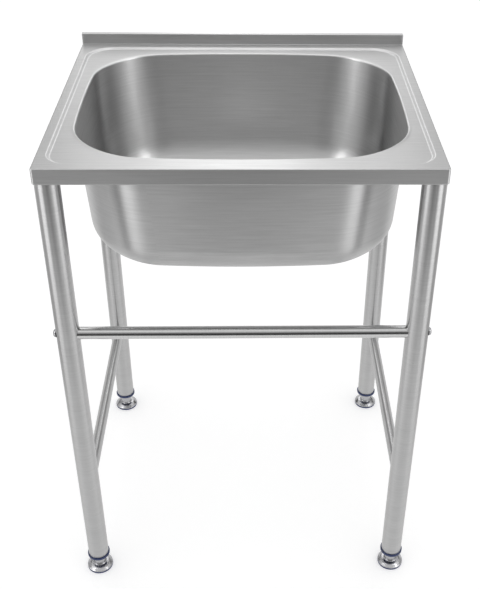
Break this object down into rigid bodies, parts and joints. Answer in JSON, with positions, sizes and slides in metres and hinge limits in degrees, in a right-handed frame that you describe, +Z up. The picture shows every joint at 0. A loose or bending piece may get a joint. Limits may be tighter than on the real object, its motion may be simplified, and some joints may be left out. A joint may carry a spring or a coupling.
{
  "type": "utility laundry sink",
  "caption": "Free-standing utility laundry sink: a one-piece pressed sink top with a deep bowl, stepped deck and rear upstand on a tube stand with braces and screw feet.",
  "frame": {"origin": "on the floor at the centre of the whole sink's bounding box: midway between the sides, and midway between the front of the front feet and the rear edge of the top", "axes": "+X to the user's right as they stand at the sink, +Y towards the wall behind it, +Z up"},
  "size_m": [0.6226, 0.5393, 0.896],
  "materials": {
    "sheet_brushed": "brushed along the width, bowl and step smoother",
    "tube_satin": "satin, brushed along the tube",
    "rail_polished": "polished",
    "fixings_bright": "bright",
    "steel_plain": "plain rolled and turned",
    "insert_plastic": "moulded, slightly glossy",
    "foot_chrome": "bright plated",
    "pad_plastic": "moulded"
  },
  "bodies": {
    "stand": {"sink_top": "sheet_brushed", "leg_front_left": "tube_satin", "leg_front_right": "tube_satin", "leg_rear_left": "tube_satin", "leg_rear_right": "tube_satin", "side_rail_left": "tube_satin", "side_rail_right": "tube_satin", "front_rail": "rail_polished", "rear_rail": "rail_polished", "rail_bolts": "fixings_bright", "rail_plugs": "steel_plain", "leg_socket_front_left": "steel_plain", "leg_socket_front_right": "steel_plain", "leg_socket_rear_left": "steel_plain", "leg_socket_rear_right": "steel_plain", "leg_screws": "fixings_bright", "leg_nuts": "steel_plain", "foot_insert_front_left": "insert_plastic", "foot_insert_front_right": "insert_plastic", "foot_insert_rear_left": "insert_plastic", "foot_insert_rear_right": "insert_plastic"},
    "screw_foot_front_left": {"foot_front_left": "foot_chrome", "foot_pad_front_left": "pad_plastic"},
    "screw_foot_front_right": {"foot_front_right": "foot_chrome", "foot_pad_front_right": "pad_plastic"},
    "screw_foot_rear_left": {"foot_rear_left": "foot_chrome", "foot_pad_rear_left": "pad_plastic"},
    "screw_foot_rear_right": {"foot_rear_right": "foot_chrome", "foot_pad_rear_right": "pad_plastic"}
  },
  "joints": [
    {"name": "foot_front_left_height", "type": "slide", "parent": "stand", "child": "screw_foot_front_left", "axis": [0, 0, -1], "range_m": [0, 0.025]},
    {"name": "foot_front_right_height", "type": "slide", "parent": "stand", "child": "screw_foot_front_right", "axis": [0, 0, -1], "range_m": [0, 0.025]},
    {"name": "foot_rear_left_height", "type": "slide", "parent": "stand", "child": "screw_foot_rear_left", "axis": [0, 0, -1], "range_m": [0, 0.025]},
    {"name": "foot_rear_right_height", "type": "slide", "parent": "stand", "child": "screw_foot_rear_right", "axis": [0, 0, -1], "range_m": [0, 0.025]}
  ]
}
